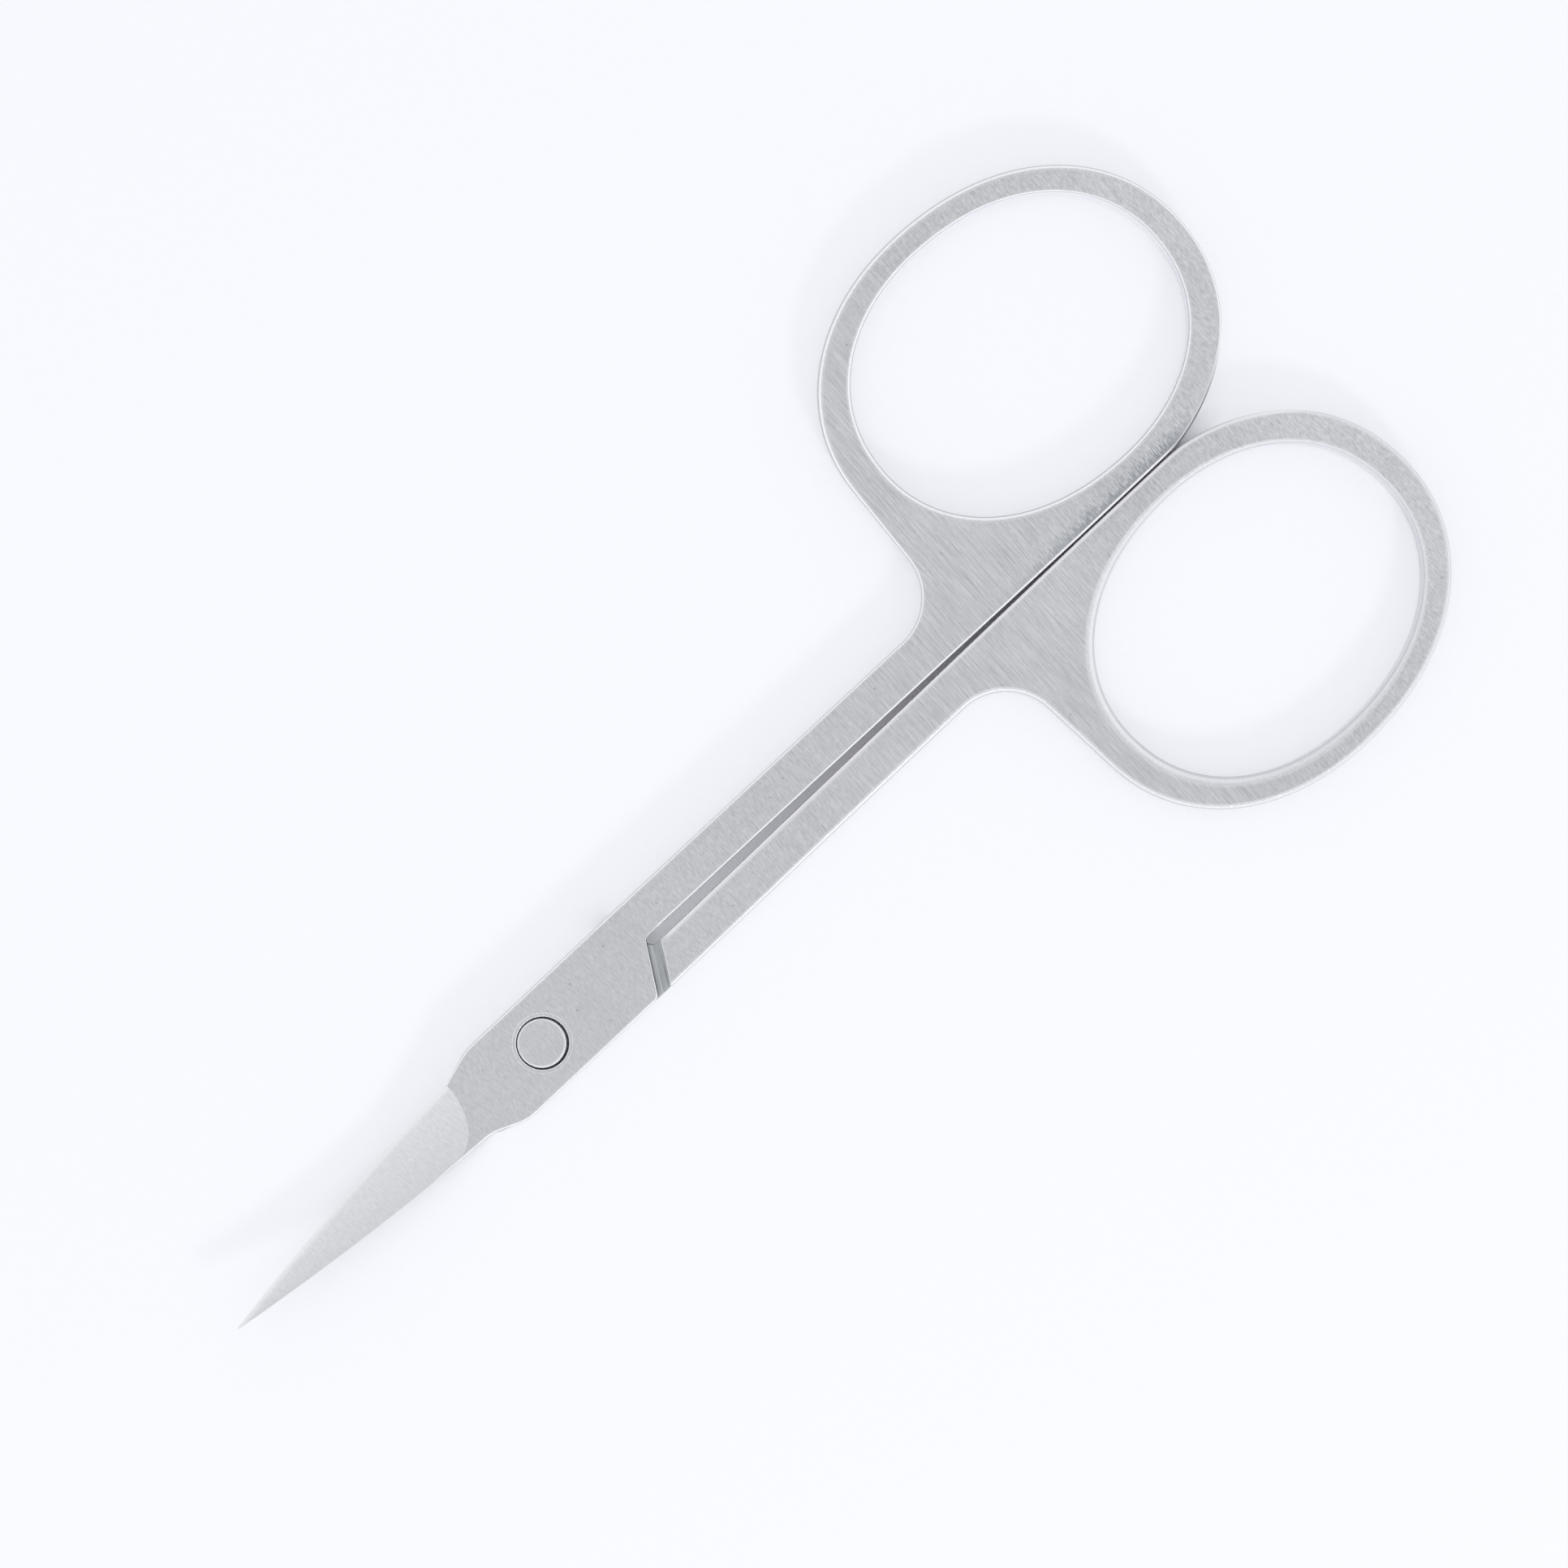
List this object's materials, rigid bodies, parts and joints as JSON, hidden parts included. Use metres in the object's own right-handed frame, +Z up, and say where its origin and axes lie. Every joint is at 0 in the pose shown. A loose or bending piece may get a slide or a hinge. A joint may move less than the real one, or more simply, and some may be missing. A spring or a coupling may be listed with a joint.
{
  "type": "nail scissors",
  "caption": "Small steel nail scissors with curved pointed blades, slim flat arms, oval finger rings and a flush rivet at a half-lap pivot.",
  "frame": {"origin": "on the pivot axis, at the flush tail of the rivet, on the surface that the closed scissors lie on", "axes": "+X along the closed scissors towards the finger rings, +Y towards the upper half's ring, +Z up, the way the blades curve"},
  "size_m": [0.09, 0.0432, 0.0034],
  "materials": {
    "upper_blade": "stainless steel, brushed across the arms, with a finer ground blade face",
    "lower_blade": "stainless steel, brushed across the arms, with a finer ground blade face",
    "pivot_rivet": "stainless steel, ground flush with the lap"
  },
  "bodies": {
    "lower_half": {"lower_blade": "lower_blade", "pivot_rivet": "pivot_rivet"},
    "upper_half": {"upper_blade": "upper_blade"}
  },
  "joints": [
    {"name": "blade_pivot", "type": "hinge", "parent": "lower_half", "child": "upper_half", "pos_m": [0, 0, 0], "axis": [0, 0, 1], "range_deg": [0, 147]}
  ]
}
